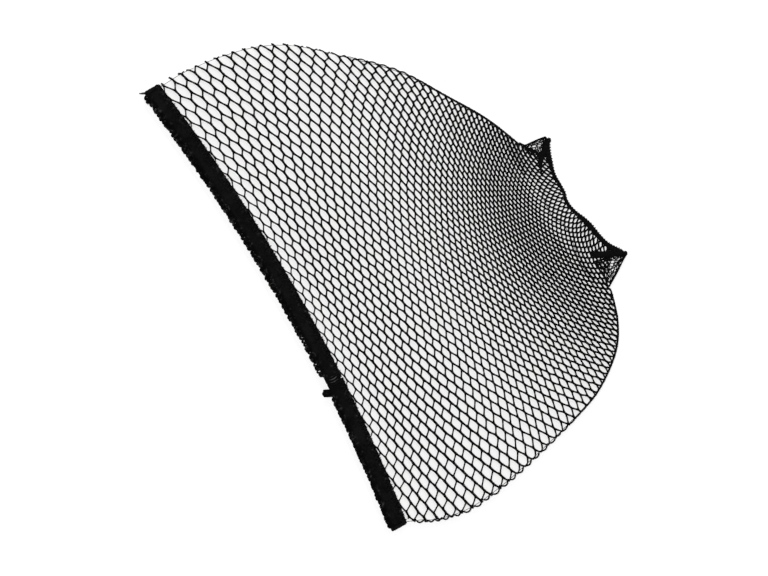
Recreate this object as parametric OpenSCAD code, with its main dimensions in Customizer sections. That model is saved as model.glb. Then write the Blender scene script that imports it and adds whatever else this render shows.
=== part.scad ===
// Net cap: a knitted hexagonal net tube with an elastic band round its mouth and a closed crown seam,
// laid flat over a white card that slides out of the mouth.
// X runs along the band, Y from the mouth to the crown, Z up. The cap lies on its back wall at Z = 0.

/* [Mouth and band] */
// Width of the mouth, laid flat, corner to corner
mouth_w = 209; // [180:1:240]
// How far the middle of the mouth bows towards the crown
mouth_bow = 7.6; // [4:0.2:14]
// Width of the elastic band
band_w = 8; // [7:0.5:14]
// Thickness of one layer of the band
band_t = 1.4; // [1.2:0.1:2.4]
// Thickness of one square-cut elastic strand inside the band
strand_d = 0.5; // [0.3:0.05:0.6]
// Number of elastic strands
strand_count = 5; // [3:1:5]
// Distance from one strand to the next
strand_pitch = 0.95; // [0.7:0.05:1]
// Room round the strands in the band's channel
strand_play = 0.05; // [0.02:0.01:0.1]
// Distance from one picot hole to the next, along the mouth's edge
picot_pitch = 6; // [4:0.5:10]
// Diameter of a picot hole
picot_d = 1; // [0.6:0.1:1.2]

/* [Band join] */
// Distance of the band's join from the middle of the mouth
join_x = 39; // [10:1:70]
// Length of the band's lap at the join
lap_l = 8; // [5:0.5:14]
// Thickness of the lap
lap_t = 0.9; // [0.5:0.1:1.4]
// How far the band's cut end sticks out of the mouth
tail_l = 3; // [1:0.5:6]
// Width of the band's cut end
tail_w = 3.4; // [2:0.2:6]
// Diameter of the sewing thread
stitch_d = 0.4; // [0.25:0.05:0.6]

/* [Net] */
// Length of the net from the band to the crown seam, on the middle line
net_l = 115; // [95:1:140]
// Thickness of the net's thread
thread_d = 0.9; // [0.6:0.1:1.2]
// Gaps of one wall, counted across
gaps_across = 12; // [6:1:14]
// Gaps of one wall, counted from the band to the crown
gaps_along = 12; // [6:1:14]
// Stitches that join one wall to the band
band_stitches = 24; // [12:1:40]

/* [Crown] */
// Diameter of the rolled crown seam
roll_d = 3.4; // [2.4:0.2:5]
// Turns of the sewing thread round the crown seam
seam_turns = 22; // [12:1:32]
// How far the left ear stands up from the seam
ear_left_h = 7; // [4:0.5:12]
// How far the right ear stands up from the seam
ear_right_h = 8; // [4:0.5:12]
// Diameter of the tack knot at an ear's tip
tack_d = 2.6; // [2.2:0.2:3.2]

/* [Card] */
// Thickness of the card
card_t = 0.8; // [0.4:0.1:1.5]
// Gap between the card and the net or the band
card_gap = 0.3; // [0.3:0.05:0.6]
// How far the card stays back from the mouth's edge
card_back = 2.5; // [1:0.5:5]
// How far the card's top edge stays below the crown seam
card_drop = 5; // [4:0.5:10]

/* [Hidden] */

// Heights of the layers: back wall and band, card, front wall and band.
card_z = band_t + card_gap;
front_z = card_z + card_t + card_gap;
mid_z = card_z + card_t / 2;
back_net_z = band_t - thread_d;

// The mouth's edge and the band's seam edge are two arcs round one centre, below the mouth.
mouth_r = (pow(mouth_w / 2, 2) + pow(mouth_bow, 2)) / (2 * mouth_bow);
seam_r = mouth_r + band_w;
corner_a = asin(mouth_w / 2 / mouth_r);
join_a = asin(join_x / mouth_r);
seam_gap = 0.05;

// The folds wrap round the card's edge, one card gap away from it.
fold_in = card_t / 2 + card_gap;
fold_out = fold_in + thread_d;
corner_out = fold_in + band_t;

// Outline of the flat net, from the band's corners to the ears, and the middle of the crown seam.
// Chosen for a mouth of 209 and a net of 115, with the middle of the band's seam edge as zero.
drawn_w = 209;
drawn_l = 115;
LEFT = [[-103, 10], [-100, 28], [-95.5, 41], [-88.5, 52], [-77, 64.5],
    [-59.5, 82], [-40, 94.5], [-24, 104], [-8, 110.5]];
RIGHT = [[109.5, 1], [113.2, 16], [112, 33], [107.5, 54], [101.5, 76.5],
    [96, 90], [86, 103], [75, 110], [61.5, 114]];
SEAM = [[-2, 119.5], [3, 117], [9, 115.6], [18, 115], [25, 114.8], [33, 117.3], [41, 119.5], [50, 122.5]];
side_w = mouth_w / drawn_w;
side_l = net_l / drawn_l;
widest = 1; // index in RIGHT of the point that reaches furthest

function fitted(pts) = [for (p = pts) [p[0] * side_w, p[1] * side_l]];

// A smooth curve through points, from u = 0 to u = 1.
function knot(pts, i) = pts[max(0, min(len(pts) - 1, i))];
function spline(pts, u) =
    let (f = min(u, 0.999999) * (len(pts) - 1), i = floor(f), t = f - i,
        a = knot(pts, i - 1), b = knot(pts, i), c = knot(pts, i + 1), d = knot(pts, i + 2))
    0.5 * (2 * b + (c - a) * t + (2 * a - 5 * b + 4 * c - d) * t * t + (3 * b - a - 3 * c + d) * t * t * t);

// A point on an arc round the mouth's centre, at an angle from the middle line.
function arc(r, a) = [r * sin(a), r * cos(a) - seam_r];

// The card's side edges: the net's outline, drawn in by the fold's outer radius.
edge_r = seam_r + seam_gap;
edge_a = corner_a - asin((corner_out + 0.6) / edge_r);
function side(pts, sign) = concat([arc(edge_r, sign * edge_a)], [for (p = fitted(pts)) p]);
left_side = side(LEFT, -1);
right_side = side(RIGHT, 1);
function turned(v) = [v[1], -v[0]] / norm(v);
function inward(pts, sign, u) =
    let (d = spline(pts, min(1, u + 0.01)) - spline(pts, max(0, u - 0.01))) -sign * turned(d);
function side_edge(pts, sign, u) =
    spline(pts, u) + min(1, u * 12) * fold_out * inward(pts, sign, u);

seam_line = fitted(SEAM);
crown_left = side_edge(left_side, -1, 1);
crown_right = side_edge(right_side, 1, 1);
crown_line = concat([crown_left], [for (i = [2:len(seam_line) - 3]) seam_line[i] - [0, roll_d / 4]], [crown_right]);

// The middle of the whole outline, which the part's origin lies under.
ear_left_tip = seam_line[0] + [-2.6, ear_left_h - 5.5];
ear_right_tip = seam_line[len(seam_line) - 1] + [2.6, ear_right_h - 4.6];
x_low = -seam_r * sin(corner_a);
x_high = fitted(RIGHT)[widest][0];
y_low = arc(mouth_r, corner_a)[1];
y_high = ear_right_tip[1] + tack_d / 2;
centre = [(x_low + x_high) / 2, (y_low + y_high) / 2];

module placed() {
    translate([-centre[0], -centre[1], 0])
        children();
}

// A point of the flat net at s across and t from the band to the crown: a sheet held by its four edges.
function closer(t) = t * (1.22 - 0.22 * t);
function sheet(s, t) =
    let (u = closer(t),
        l = side_edge(left_side, -1, u), r = side_edge(right_side, 1, u),
        b = arc(edge_r, edge_a * (2 * s - 1)), c = spline(crown_line, s),
        corners = (1 - s) * ((1 - u) * left_side[0] + u * crown_left)
            + s * ((1 - u) * right_side[0] + u * crown_right))
    (1 - s) * l + s * r + (1 - u) * b + u * c - corners;

// Lattice point k across and h half gaps up. Inside the net it leans to the thread that it meets.
lean = 0.26;
function lattice(k, h) =
    let (inner = k > 0 && k < gaps_across, side = (k + h) % 2 == 0 ? 1 : -1)
    sheet((k + (inner ? side * lean : 0)) / gaps_across, h / (2 * gaps_along));

// The gap between threads: a cell's outline, drawn in by half a thread.
function drawn_in(pts) = [for (i = [0:len(pts) - 1])
    let (p = pts[i], a = p - pts[(i + len(pts) - 1) % len(pts)], b = pts[(i + 1) % len(pts)] - p,
        m = -turned(a), n = -turned(b))
    p + (m + n) * (thread_d / 2) / (1 + m * n)];
function whole_cell(k, h) = [lattice(k, h), lattice(k + 1, h), lattice(k + 1, h + 1),
    lattice(k + 1, h + 2), lattice(k, h + 2), lattice(k, h + 1)];
function half_cell(k, h) = [lattice(k, h), lattice(k + 1, h), lattice(k + 1, h + 1), lattice(k, h + 1)];

// The wall's outline. Its lowest edge follows the band's arc closely, and the others run from thread to thread.
net_outline = concat(
    [for (i = [0:4 * gaps_across]) sheet(i / (4 * gaps_across), 0)],
    [for (h = [1:2 * gaps_along - 1]) lattice(gaps_across, h)],
    [for (k = [gaps_across:-1:0]) lattice(k, 2 * gaps_along)],
    [for (h = [2 * gaps_along - 1:-1:1]) lattice(0, h)]);

// A gap is left closed where a side of it would vanish or run over, or where it would reach the wall's rim,
// as in a gathered corner.
least_thread = thread_d * 0.4;
function side_left(cell, hole, i) =
    let (j = (i + 1) % len(cell), a = cell[j] - cell[i])
    (hole[j] - hole[i]) * a / norm(a);
function side_grown(cell, hole, i) = side_left(cell, hole, i) - norm(cell[(i + 1) % len(cell)] - cell[i]);
function off_line(p, a, b) =
    let (t = max(0, min(1, (p - a) * (b - a) / ((b - a) * (b - a)))))
    norm(p - a - t * (b - a));
function off_rim(p) =
    min([for (i = [0:len(net_outline) - 1]) off_line(p, net_outline[i], net_outline[(i + 1) % len(net_outline)])]);
function is_open(cell, hole) =
    min([for (i = [0:len(cell) - 1]) side_left(cell, hole, i)]) > least_thread
    && max([for (i = [0:len(cell) - 1]) side_grown(cell, hole, i)]) < least_thread
    && min([for (p = hole) off_rim(p)]) > least_thread;
module gap(cell) {
    hole = drawn_in(cell);
    if (is_open(cell, hole))
        polygon(hole);
}

// A tube of some sides that follows a list of points; squeeze flattens it in height.
function along(pts, i) =
    let (d = pts[min(len(pts) - 1, i + 1)] - pts[max(0, i - 1)]) d / norm(d);
function ring(pts, i, r, sides) =
    let (d = along(pts, i), x = cross(d, [0, 0, 1]), a = x / norm(x), b = cross(a, d))
    [for (j = [0:sides - 1]) let (q = 360 * (j + 0.5) / sides) pts[i] + r * (cos(q) * a + sin(q) * b)];
module tube(pts, r, sides) {
    last = len(pts) - 1;
    polyhedron(
        points = [for (i = [0:last]) each ring(pts, i, r, sides)],
        faces = concat(
            [[for (j = [sides - 1:-1:0]) j]],
            [for (i = [0:last - 1], j = [0:sides - 1], half = [0, 1])
                let (m = i * sides, n = (j + 1) % sides)
                half == 0 ? [m + j, m + n, m + sides + j] : [m + n, m + sides + n, m + sides + j]],
            [[for (j = [0:sides - 1]) last * sides + j]]));
}

// A piece of the arc between two angles, with its profile drawn as radius and height.
module swept(a_from, a_to) {
    translate([0, -seam_r, 0])
        rotate([0, 0, 90 - a_to])
            rotate_extrude(angle = a_to - a_from, $fn = 360)
                children();
}

channel_h = strand_d + 2 * strand_play;
channel_w = (strand_count - 1) * strand_pitch + channel_h;
channel_mid = mouth_r + band_w - 0.6 - channel_w / 2;
picot_edge = picot_d / 2 + 0.5;

// One run of the band: a knitted cover with a channel for the strands and a row of picot holes.
module band_run(a_from, a_to, z) {
    picots = floor((a_to - a_from) * PI / 180 * mouth_r / picot_pitch);
    step = (a_to - a_from) / picots;
    difference() {
        swept(a_from, a_to)
            difference() {
                translate([mouth_r, z])
                    square([band_w, band_t]);
                translate([channel_mid - channel_w / 2, z + (band_t - channel_h) / 2])
                    square([channel_w, channel_h]);
            }
        for (i = [0:picots - 1])
            let (p = arc(mouth_r + picot_edge, a_from + (i + 0.5) * step))
                translate([p[0], p[1], z - 1])
                    cylinder(d = picot_d, h = band_t + 2, $fn = 6);
    }
}

module strand_run(a_from, a_to, z) {
    for (i = [0:strand_count - 1])
        swept(a_from, a_to)
            translate([channel_mid + (i - (strand_count - 1) / 2) * strand_pitch, z + band_t / 2])
                square(strand_d, center = true);
}

// Stitches that zigzag from the band's face over its seam edge to the net's face.
function stitch_path(on_band, on_net) = [for (i = [0:band_stitches - 1])
    let (step = 2 * edge_a / band_stitches, a = -edge_a + (i + 0.25) * step, b = a + step / 2,
        r_band = seam_r - 1.6, r_edge = seam_r + stitch_d, r_net = r_edge + abs(on_band - on_net) + 0.2)
    each [for (q = [[a, r_band, on_band], [b, r_edge, on_band],
            [b + step / 12, r_net, on_net], [b + step / 6, r_edge, on_band]])
        let (p = arc(q[1], q[0])) [p[0], p[1], q[2]]]];

// Stays of thread that go round the card's edge and join the two walls.
module fold(pts, sign, rows) {
    for (h = rows) {
        u = closer(h / (2 * gaps_along));
        p = side_edge(pts, sign, u);
        n = inward(pts, sign, u);
        translate([p[0], p[1], mid_z])
            rotate([0, 0, atan2(-n[1], -n[0])])
                rotate([90, 0, 0])
                    rotate([0, 0, -90])
                        translate([0, 0, -thread_d / 2])
                            linear_extrude(thread_d)
                                fold_profile();
    }
}

module fold_profile() {
    difference() {
        circle(r = fold_out, $fn = 12);
        circle(r = fold_in, $fn = 12);
        translate([-2 * fold_out, -4 * fold_out])
            square([4 * fold_out, 4 * fold_out]);
    }
}

module net_wall() {
    linear_extrude(thread_d)
        difference() {
            polygon(net_outline);
            for (k = [0:gaps_across - 1], h = [k % 2:2:2 * gaps_along - 2])
                gap(whole_cell(k, h));
            for (k = [1:2:gaps_across - 1], h = [0, 2 * gaps_along - 1])
                gap(half_cell(k, h));
        }
}

// A gathered ear: a soft corner of the doubled net between the seam and the wall's corner.
module ear(base_a, base_b, tip) {
    hull() {
        for (p = [base_a, base_b])
            translate([p[0], p[1], roll_d / 2])
                sphere(d = roll_d * 0.9, $fn = 12);
        translate([tip[0], tip[1], roll_d / 2])
            sphere(d = roll_d * 0.5, $fn = 12);
    }
}

module display_card() {
    low_r = mouth_r + card_back;
    color("white")
        placed()
            translate([0, 0, card_z])
                linear_extrude(card_t)
                    polygon(concat(
                        [for (i = [0:24]) arc(low_r, edge_a * (i / 12 - 1))],
                        [for (i = [2:28]) side_edge(right_side, 1, i / 30)],
                        [for (i = [18:-1:2]) spline(crown_line, i / 20) - [0, roll_d / 2 + card_drop]],
                        [for (i = [28:-1:2]) side_edge(left_side, -1, i / 30)]));
}

module net_front_wall() {
    color("#0b0b0b")
        placed()
            translate([0, 0, front_z])
                net_wall();
}

module net_back_wall() {
    color("#0b0b0b")
        placed()
            translate([0, 0, back_net_z])
                net_wall();
}

module net_fold_left() {
    color("#0b0b0b")
        placed()
            fold(left_side, -1, [2:2:2 * gaps_along - 2]);
}

module net_fold_right() {
    color("#0b0b0b")
        placed()
            fold(right_side, 1, [6:2:2 * gaps_along - 2]);
}

module band_front_long() {
    color("#101010")
        placed()
            band_run(-corner_a + asin(corner_out / mouth_r), join_a, front_z);
}

module band_front_short() {
    color("#060606")
        placed()
            band_run(join_a, corner_a, front_z);
}

module band_back() {
    color("#0b0b0b")
        placed()
            band_run(-corner_a + asin(corner_out / mouth_r), corner_a, 0);
}

// The band turns round the card's edge at the left corner: half a ring, as thick as the band.
module band_corner_left() {
    color("#0b0b0b")
        placed()
            translate([0, -seam_r, mid_z])
                rotate([0, 0, 90 + corner_a - asin(corner_out / mouth_r)])
                    translate([mouth_r, 0, 0])
                        rotate([0, 90, 0])
                            linear_extrude(band_w)
                                difference() {
                                    circle(r = corner_out, $fn = 48);
                                    circle(r = fold_in, $fn = 48);
                                    translate([-2 * corner_out, -4 * corner_out])
                                        square([4 * corner_out, 4 * corner_out]);
                                }
}

module band_strands_long() {
    color("#b9b2a4")
        placed()
            strand_run(-corner_a + asin(corner_out / mouth_r), join_a, front_z);
}

module band_strands_short() {
    color("#b9b2a4")
        placed()
            strand_run(join_a, corner_a, front_z);
}

module band_strands_back() {
    color("#b9b2a4")
        placed()
            strand_run(-corner_a + asin(corner_out / mouth_r), corner_a, 0);
}

lap_a = lap_l / mouth_r * 180 / PI;
lap_from = join_a - lap_a * 0.35;
lap_top = front_z + band_t + lap_t;

// The band's two ends lap at the join; the upper end lies on the run below it.
module band_join_lap() {
    color("#1c1c1c")
        placed()
            swept(lap_from, lap_from + lap_a)
                translate([mouth_r + 0.8, front_z + band_t])
                    square([band_w - 2.6, lap_t]);
}

// The cut end of the band, folded out past the mouth's edge.
module band_join_tail() {
    color("#060606")
        placed()
            translate([0, -seam_r, front_z])
                rotate([0, 0, -join_a])
                    translate([tail_w / 3, mouth_r - tail_l, 0])
                        linear_extrude(band_t * 0.8)
                            polygon([[0, 0], [tail_w * 0.8, 0.5], [tail_w, tail_l], [-tail_w * 0.1, tail_l]]);
}

// A bar of zigzag stitches that holds the lap.
module band_join_thread() {
    bars = 9;
    bar_l = lap_l * 0.5;
    color("#060606")
        placed()
            tube([for (i = [0:bars - 1])
                let (r = mouth_r + 1.4 + i * (band_w - 3.8) / (bars - 1),
                    a = lap_from + lap_a * (0.5 + (i % 2 == 0 ? -0.22 : 0.22)), p = arc(r, a))
                [p[0], p[1], lap_top + stitch_d / 2]], stitch_d / 2, 6);
}

module band_seam_thread_front() {
    color("#050505")
        placed()
            tube(stitch_path(front_z + band_t + stitch_d / 2, front_z + thread_d + stitch_d / 2), stitch_d / 2, 4);
}

// On the back the stitches are bedded into the band, which lies on them.
module band_seam_thread_back() {
    color("#050505")
        placed()
            tube(stitch_path(stitch_d / 2, back_net_z - stitch_d / 2), stitch_d / 2, 4);
}

module crown_seam_roll() {
    color("#070707")
        placed()
            tube([for (i = [0:20]) let (p = spline(seam_line, i / 20)) [p[0], p[1], roll_d / 2]], roll_d / 2, 10);
}

// Overlock thread wound round the seam's roll, bedded into it.
module crown_seam_thread() {
    steps = seam_turns * 6;
    color("#1a1a1a")
        placed()
            tube([for (i = [3:steps - 3])
                let (u = i / steps, p = spline(seam_line, u), q = spline(seam_line, u + 0.005),
                    n = turned(q - p), a = 60 * i)
                [p[0] + n[0] * roll_d / 2 * cos(a), p[1] + n[1] * roll_d / 2 * cos(a),
                    roll_d / 2 + stitch_d * 0.6 + (roll_d / 2 - 0.05) * sin(a)]], stitch_d / 2, 4);
}

module crown_ear_left() {
    color("#080808")
        placed()
            ear(crown_left + [1.5, 1], seam_line[1] - [0, 2.5], ear_left_tip);
}

module crown_ear_right() {
    color("#080808")
        placed()
            ear(crown_right + [-2, 1], seam_line[len(seam_line) - 2] + [3, -2.5], ear_right_tip);
}

module tack(tip) {
    translate([tip[0], tip[1], roll_d / 2])
        sphere(d = tack_d, $fn = 12);
}

module ear_tack_left() {
    color("#050505")
        placed()
            tack(ear_left_tip);
}

module ear_tack_right() {
    color("#050505")
        placed()
            tack(ear_right_tip);
}

display_card();
net_front_wall();
net_back_wall();
net_fold_left();
net_fold_right();
band_front_long();
band_front_short();
band_back();
band_corner_left();
band_strands_long();
band_strands_short();
band_strands_back();
band_join_lap();
band_join_tail();
band_join_thread();
band_seam_thread_front();
band_seam_thread_back();
crown_seam_roll();
crown_seam_thread();
crown_ear_left();
crown_ear_right();
ear_tack_left();
ear_tack_right();
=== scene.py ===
"""Looks of the net cap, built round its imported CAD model.

The frame is the CAD's: X along the band, Y from the mouth to the crown, Z up. All sizes here are in
millimetres until a mesh is made, and every mesh is in metres. Yarn and thread are tubes. The band, its lap
and the card are closed surfaces.
"""

import math

import bpy
import numpy as np
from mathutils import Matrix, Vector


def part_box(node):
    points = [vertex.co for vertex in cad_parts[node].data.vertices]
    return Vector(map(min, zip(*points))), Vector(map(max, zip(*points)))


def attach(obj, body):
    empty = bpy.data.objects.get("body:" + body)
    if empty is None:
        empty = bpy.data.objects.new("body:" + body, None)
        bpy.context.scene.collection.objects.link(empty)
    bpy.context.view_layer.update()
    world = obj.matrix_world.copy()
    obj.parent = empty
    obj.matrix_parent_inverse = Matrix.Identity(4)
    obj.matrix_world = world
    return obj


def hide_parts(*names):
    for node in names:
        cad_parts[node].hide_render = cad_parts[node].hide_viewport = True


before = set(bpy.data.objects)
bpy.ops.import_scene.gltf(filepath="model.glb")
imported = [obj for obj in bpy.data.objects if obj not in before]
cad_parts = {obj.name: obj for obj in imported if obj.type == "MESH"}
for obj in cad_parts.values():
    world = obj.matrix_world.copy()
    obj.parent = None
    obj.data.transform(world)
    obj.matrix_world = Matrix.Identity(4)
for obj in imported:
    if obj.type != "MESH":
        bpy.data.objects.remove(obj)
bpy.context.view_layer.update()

MM = 0.001
TURN = 2 * math.pi
RANDOM = np.random.default_rng(20)

# ---- sizes shared with the CAD part

MOUTH_W = 209.0
MOUTH_BOW = 7.6
BAND_W = 8.0
BAND_T = 1.4
THREAD_D = 0.9

mouth_r = ((MOUTH_W / 2) ** 2 + MOUTH_BOW**2) / (2 * MOUTH_BOW)
seam_r = mouth_r + BAND_W
corner_a = math.asin(MOUTH_W / 2 / mouth_r)


def cad_box(node):
    """The node's box in millimetres."""
    low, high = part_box(node)
    return np.array(low) / MM, np.array(high) / MM


band_box = cad_box("band_back")
card_box = cad_box("display_card")
front_box = cad_box("net_front_wall")

# The mouth's edge and the band's seam edge are arcs round this point.
ARC_X = band_box[1][0] - seam_r * math.sin(corner_a)
ARC_Y = band_box[1][1] - seam_r

mid_z = (card_box[0][2] + card_box[1][2]) / 2
front_z = front_box[0][2] + THREAD_D / 2
wrap_r = front_z - mid_z  # of the yarns round the card's edge
fold_r = front_box[0][2] + BAND_T / 2 - mid_z  # of the band where it turns from the front to the back
face_z = mid_z + fold_r + BAND_T / 2  # the band's upper face

# ---- lines and numbers


def arc(r, a):
    """The point at radius r and angle a (radians) from the middle line, on the band's arcs."""
    return np.stack([ARC_X + r * np.sin(a), ARC_Y + r * np.cos(a)], axis=-1)


def arc_angle(x):
    """The angle at which the mouth's edge has this X."""
    return math.asin((x - ARC_X) / mouth_r)


def unit(vectors):
    """The vectors, each with length 1."""
    return vectors / (np.linalg.norm(vectors, axis=-1, keepdims=True) + 1e-9)


def length_along(line):
    """How far along a line of points each of them lies."""
    return np.concatenate([[0], np.cumsum(np.linalg.norm(np.diff(line, axis=0), axis=1))])


def ramp(value, start, full):
    """0 at start, 1 at full, straight between them and level beyond them."""
    return np.clip((value - start) / (full - start), 0, 1)


def look_up(table, at, column=1):
    """A table's column, read between its rows. Its first column holds their places."""
    rows = np.array(table)
    return np.interp(at, rows[:, 0], rows[:, column])


def sample(rows, places, at):
    """Rows of numbers that belong to some places, read between them."""
    return np.column_stack([np.interp(at, places, column) for column in rows.T])


def at_height(points, z):
    """Flat points with a height, or with one for each."""
    return np.column_stack([points, np.broadcast_to(z, len(points))])


def smooth(points, per_span):
    """A Catmull-Rom curve through rows of numbers."""
    p = np.asarray(points, float)
    p = np.vstack([2 * p[0] - p[1], p, 2 * p[-1] - p[-2]])
    a, b, c, d = (p[i : len(p) - 3 + i, None] for i in range(4))
    t = (np.arange(per_span) / per_span)[:, None]
    square, cube = 2 * a - 5 * b + 4 * c - d, 3 * b - a - 3 * c + d
    curve = 0.5 * (2 * b + (c - a) * t + square * t**2 + cube * t**3)
    return np.vstack([curve.reshape(-1, p.shape[1]), p[-2]])


def nearest_on(line, p):
    """For each of the points p: its distance to a line of points, and the nearest place on that line."""
    a = line[:-1]
    d = line[1:] - a
    t = np.einsum("nsk,sk->ns", p[:, None] - a[None], d) / (np.einsum("sk,sk->s", d, d) + 1e-12)
    q = a[None] + np.clip(t, 0, 1)[..., None] * d[None]
    gap = np.linalg.norm(p[:, None] - q, axis=2)
    rows, best = np.arange(len(p)), gap.argmin(axis=1)
    return gap[rows, best], q[rows, best]


def inside(polygon, p):
    """Which points lie inside a closed outline."""
    a, b = polygon, np.roll(polygon, -1, axis=0)
    y = p[:, 1][:, None]
    crosses = (a[:, 1][None] > y) != (b[:, 1][None] > y)
    x = a[:, 0] + (y - a[:, 1]) * (b[:, 0] - a[:, 0]) / (b[:, 1] - a[:, 1] + 1e-12)
    return ((p[:, 0][:, None] < x) & crosses).sum(axis=1) % 2 == 1


LONGEST_OUTLINE = 5000
SAME_HEIGHT = 1e-3


def outline_of(node):
    """The outer edge of a flat CAD node, seen from above, in millimetres and anticlockwise."""
    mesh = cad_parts[node].data
    co = np.array([v.co for v in mesh.vertices]) / MM
    on_top = np.abs(co[:, 2] - co[:, 2].max()) < SAME_HEIGHT
    key = [tuple(np.round(p[:2], 3)) for p in co]
    edges = {}
    for polygon in mesh.polygons:
        ids = list(polygon.vertices)
        if all(on_top[ids]):
            edges.update(((key[a], key[b]), True) for a, b in zip(ids, ids[1:] + ids[:1]))
    follows = {}
    for a, b in edges:
        if (b, a) not in edges:
            follows.setdefault(a, b)
    loop = [min(follows)]
    while follows[loop[-1]] != loop[0] and len(loop) < LONGEST_OUTLINE:
        loop.append(follows[loop[-1]])
    loop = np.array(loop)
    x, y = loop.T
    area = np.sum(x * np.roll(y, -1) - np.roll(x, -1) * y)
    return loop[::-1] if area < 0 else loop


# ---- nodes


def add_object(name, data, at=(0, 0, 0), turn=(0, 0, 0)):
    obj = bpy.data.objects.new(name, data)
    obj.location = at
    obj.rotation_euler = turn
    bpy.context.collection.objects.link(obj)
    return obj


NOISE_ROUGHNESS = 0.6


class Nodes:
    """The node tree of a material or of the world, with short calls for the nodes used here."""

    def __init__(self, owner, empty=False):
        owner.use_nodes = True
        self.owner, self.tree = owner, owner.node_tree
        if empty:
            self.tree.nodes.clear()

    def put(self, socket, value):
        """Sets a socket, or links it when the value is another node's output."""
        if isinstance(value, bpy.types.NodeSocket):
            self.tree.links.new(value, socket)
        else:
            socket.default_value = value

    def fill(self, node, values):
        for name, value in values.items():
            self.put(node.inputs[name.replace("_", " ")], value)

    def add(self, kind, **values):
        node = self.tree.nodes.new("ShaderNode" + kind)
        self.fill(node, values)
        return node

    def finish(self, **values):
        """Fills in the surface, and gives back its material."""
        self.fill(self.tree.nodes["Principled BSDF"], values)
        return self.owner

    def maths(self, operation, *values):
        node = self.add("Math")
        node.operation = operation
        for socket, value in zip(node.inputs, values):
            self.put(socket, value)
        return node.outputs[0]

    def noise(self, scale, detail, stretch=None):
        place = self.add("TexCoord").outputs["Object"]
        if stretch:
            place = self.add("Mapping", Vector=place, Scale=stretch).outputs[0]
        node = self.add("TexNoise", Vector=place, Scale=scale, Detail=detail, Roughness=NOISE_ROUGHNESS)
        return node.outputs["Fac"]

    def colours(self, value, *stops):
        """A colour for a value, blended between stops of (value, colour)."""
        node = self.add("ValToRGB", Fac=value)
        elements = node.color_ramp.elements
        while len(elements) < len(stops):
            elements.new(0.5)
        for element, (at, colour) in zip(elements, stops):
            element.position = at
            element.color = (*colour, 1)
        return node.outputs["Color"]

    def between(self, value, low, high, start=0.0, full=1.0):
        """Low up to start, high from full on."""
        node = self.add("MapRange", Value=value, From_Min=start, From_Max=full, To_Min=low, To_Max=high)
        return node.outputs[0]

    def mix(self, share, a, b):
        node = self.add("Mix")
        node.data_type = "RGBA"
        self.fill(node, {"Factor": share, "A": a, "B": b})
        return node.outputs["Result"]

    def thread_uv(self):
        """The length along a thread or band, and the place across it."""
        uv = self.add("UVMap")
        uv.uv_map = "thread"
        split = self.add("SeparateXYZ", Vector=uv.outputs[0])
        return split.outputs[0], split.outputs[1]

    def ply(self, turns_per_mm):
        """Ridges that wind round a thread."""
        along, around = self.thread_uv()
        phase = self.maths("ADD", self.maths("MULTIPLY", along, turns_per_mm), around)
        return self.maths("SINE", self.maths("MULTIPLY", phase, TURN))

    def waves(self, value, pitch):
        return self.maths("SINE", self.maths("MULTIPLY", value, TURN / pitch))

    def bump(self, height, distance, strength, below=None):
        node = self.add("Bump", Height=height, Distance=distance, Strength=strength)
        if below is not None:
            self.put(node.inputs["Normal"], below)
        return node.outputs[0]


# ---- camera, light and floor

VIEW_W = 318.0
VIEW_CENTRE = (12.0, -23.8)
VIEW_TURN = math.radians(60.45)
CAMERA_H = 1600.0
SENSOR_W = 36.0
FAR = 20  # metres


def make_camera():
    """Straight above, as in the photograph."""
    data = bpy.data.cameras.new("camera")
    data.sensor_width = SENSOR_W
    data.lens = SENSOR_W * CAMERA_H / VIEW_W
    data.clip_end = FAR
    at = (VIEW_CENTRE[0] * MM, VIEW_CENTRE[1] * MM, CAMERA_H * MM)
    bpy.context.scene.camera = add_object("camera", data, at, (0, 0, VIEW_TURN))


# Sizes and places of the lights are in metres. The sun's strength renders a colour as it is written.
SUN_STRENGTH = 2.35
SUN_WIDTH = math.radians(12)
SUN_TILT = math.radians(3)
WINDOW_AT = (-1.2, 0.9, 1.1)
WINDOW_W = 0.9
WINDOW_WATTS = 5.0
ROOM_LIGHT = 0.17
WHITE = (1, 1, 1, 1)


def make_lights():
    """A broad soft light straight above, and a weak window at the left that faces the object."""
    sun = bpy.data.lights.new("overhead", "SUN")
    sun.energy = SUN_STRENGTH
    sun.angle = SUN_WIDTH
    add_object("overhead", sun, turn=(SUN_TILT, -SUN_TILT, 0))
    window = bpy.data.lights.new("window", "AREA")
    window.shape = "DISK"
    window.size = WINDOW_W
    window.energy = WINDOW_WATTS
    to = -np.array(WINDOW_AT)
    tip = math.acos(-to[2] / np.linalg.norm(to))
    add_object("window", window, WINDOW_AT, (tip, 0, math.atan2(to[1], to[0]) - math.pi / 2))


def make_room():
    """A pale room all round, which the camera and reflections see as white."""
    world = bpy.data.worlds.new("room")
    bpy.context.scene.world = world
    n = Nodes(world, empty=True)
    path = n.add("LightPath").outputs
    direct = n.maths("MAXIMUM", path["Is Camera Ray"], path["Is Glossy Ray"])
    mix = n.add("MixShader", Fac=direct)
    for socket, strength in zip(mix.inputs[1:], (ROOM_LIGHT, 1.0)):
        n.put(socket, n.add("Background", Color=WHITE, Strength=strength).outputs[0])
    n.add("OutputWorld", Surface=mix.outputs[0])


FLOOR_HALF = 3.0  # metres
FLOOR_DROP = 0.0002  # metres
FLOOR_TONE = (0.93, 0.93, 0.93, 1)
FLOOR_LIFT = 0.16  # white added for the camera only, so that the floor reads as white and keeps its shadow


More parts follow.
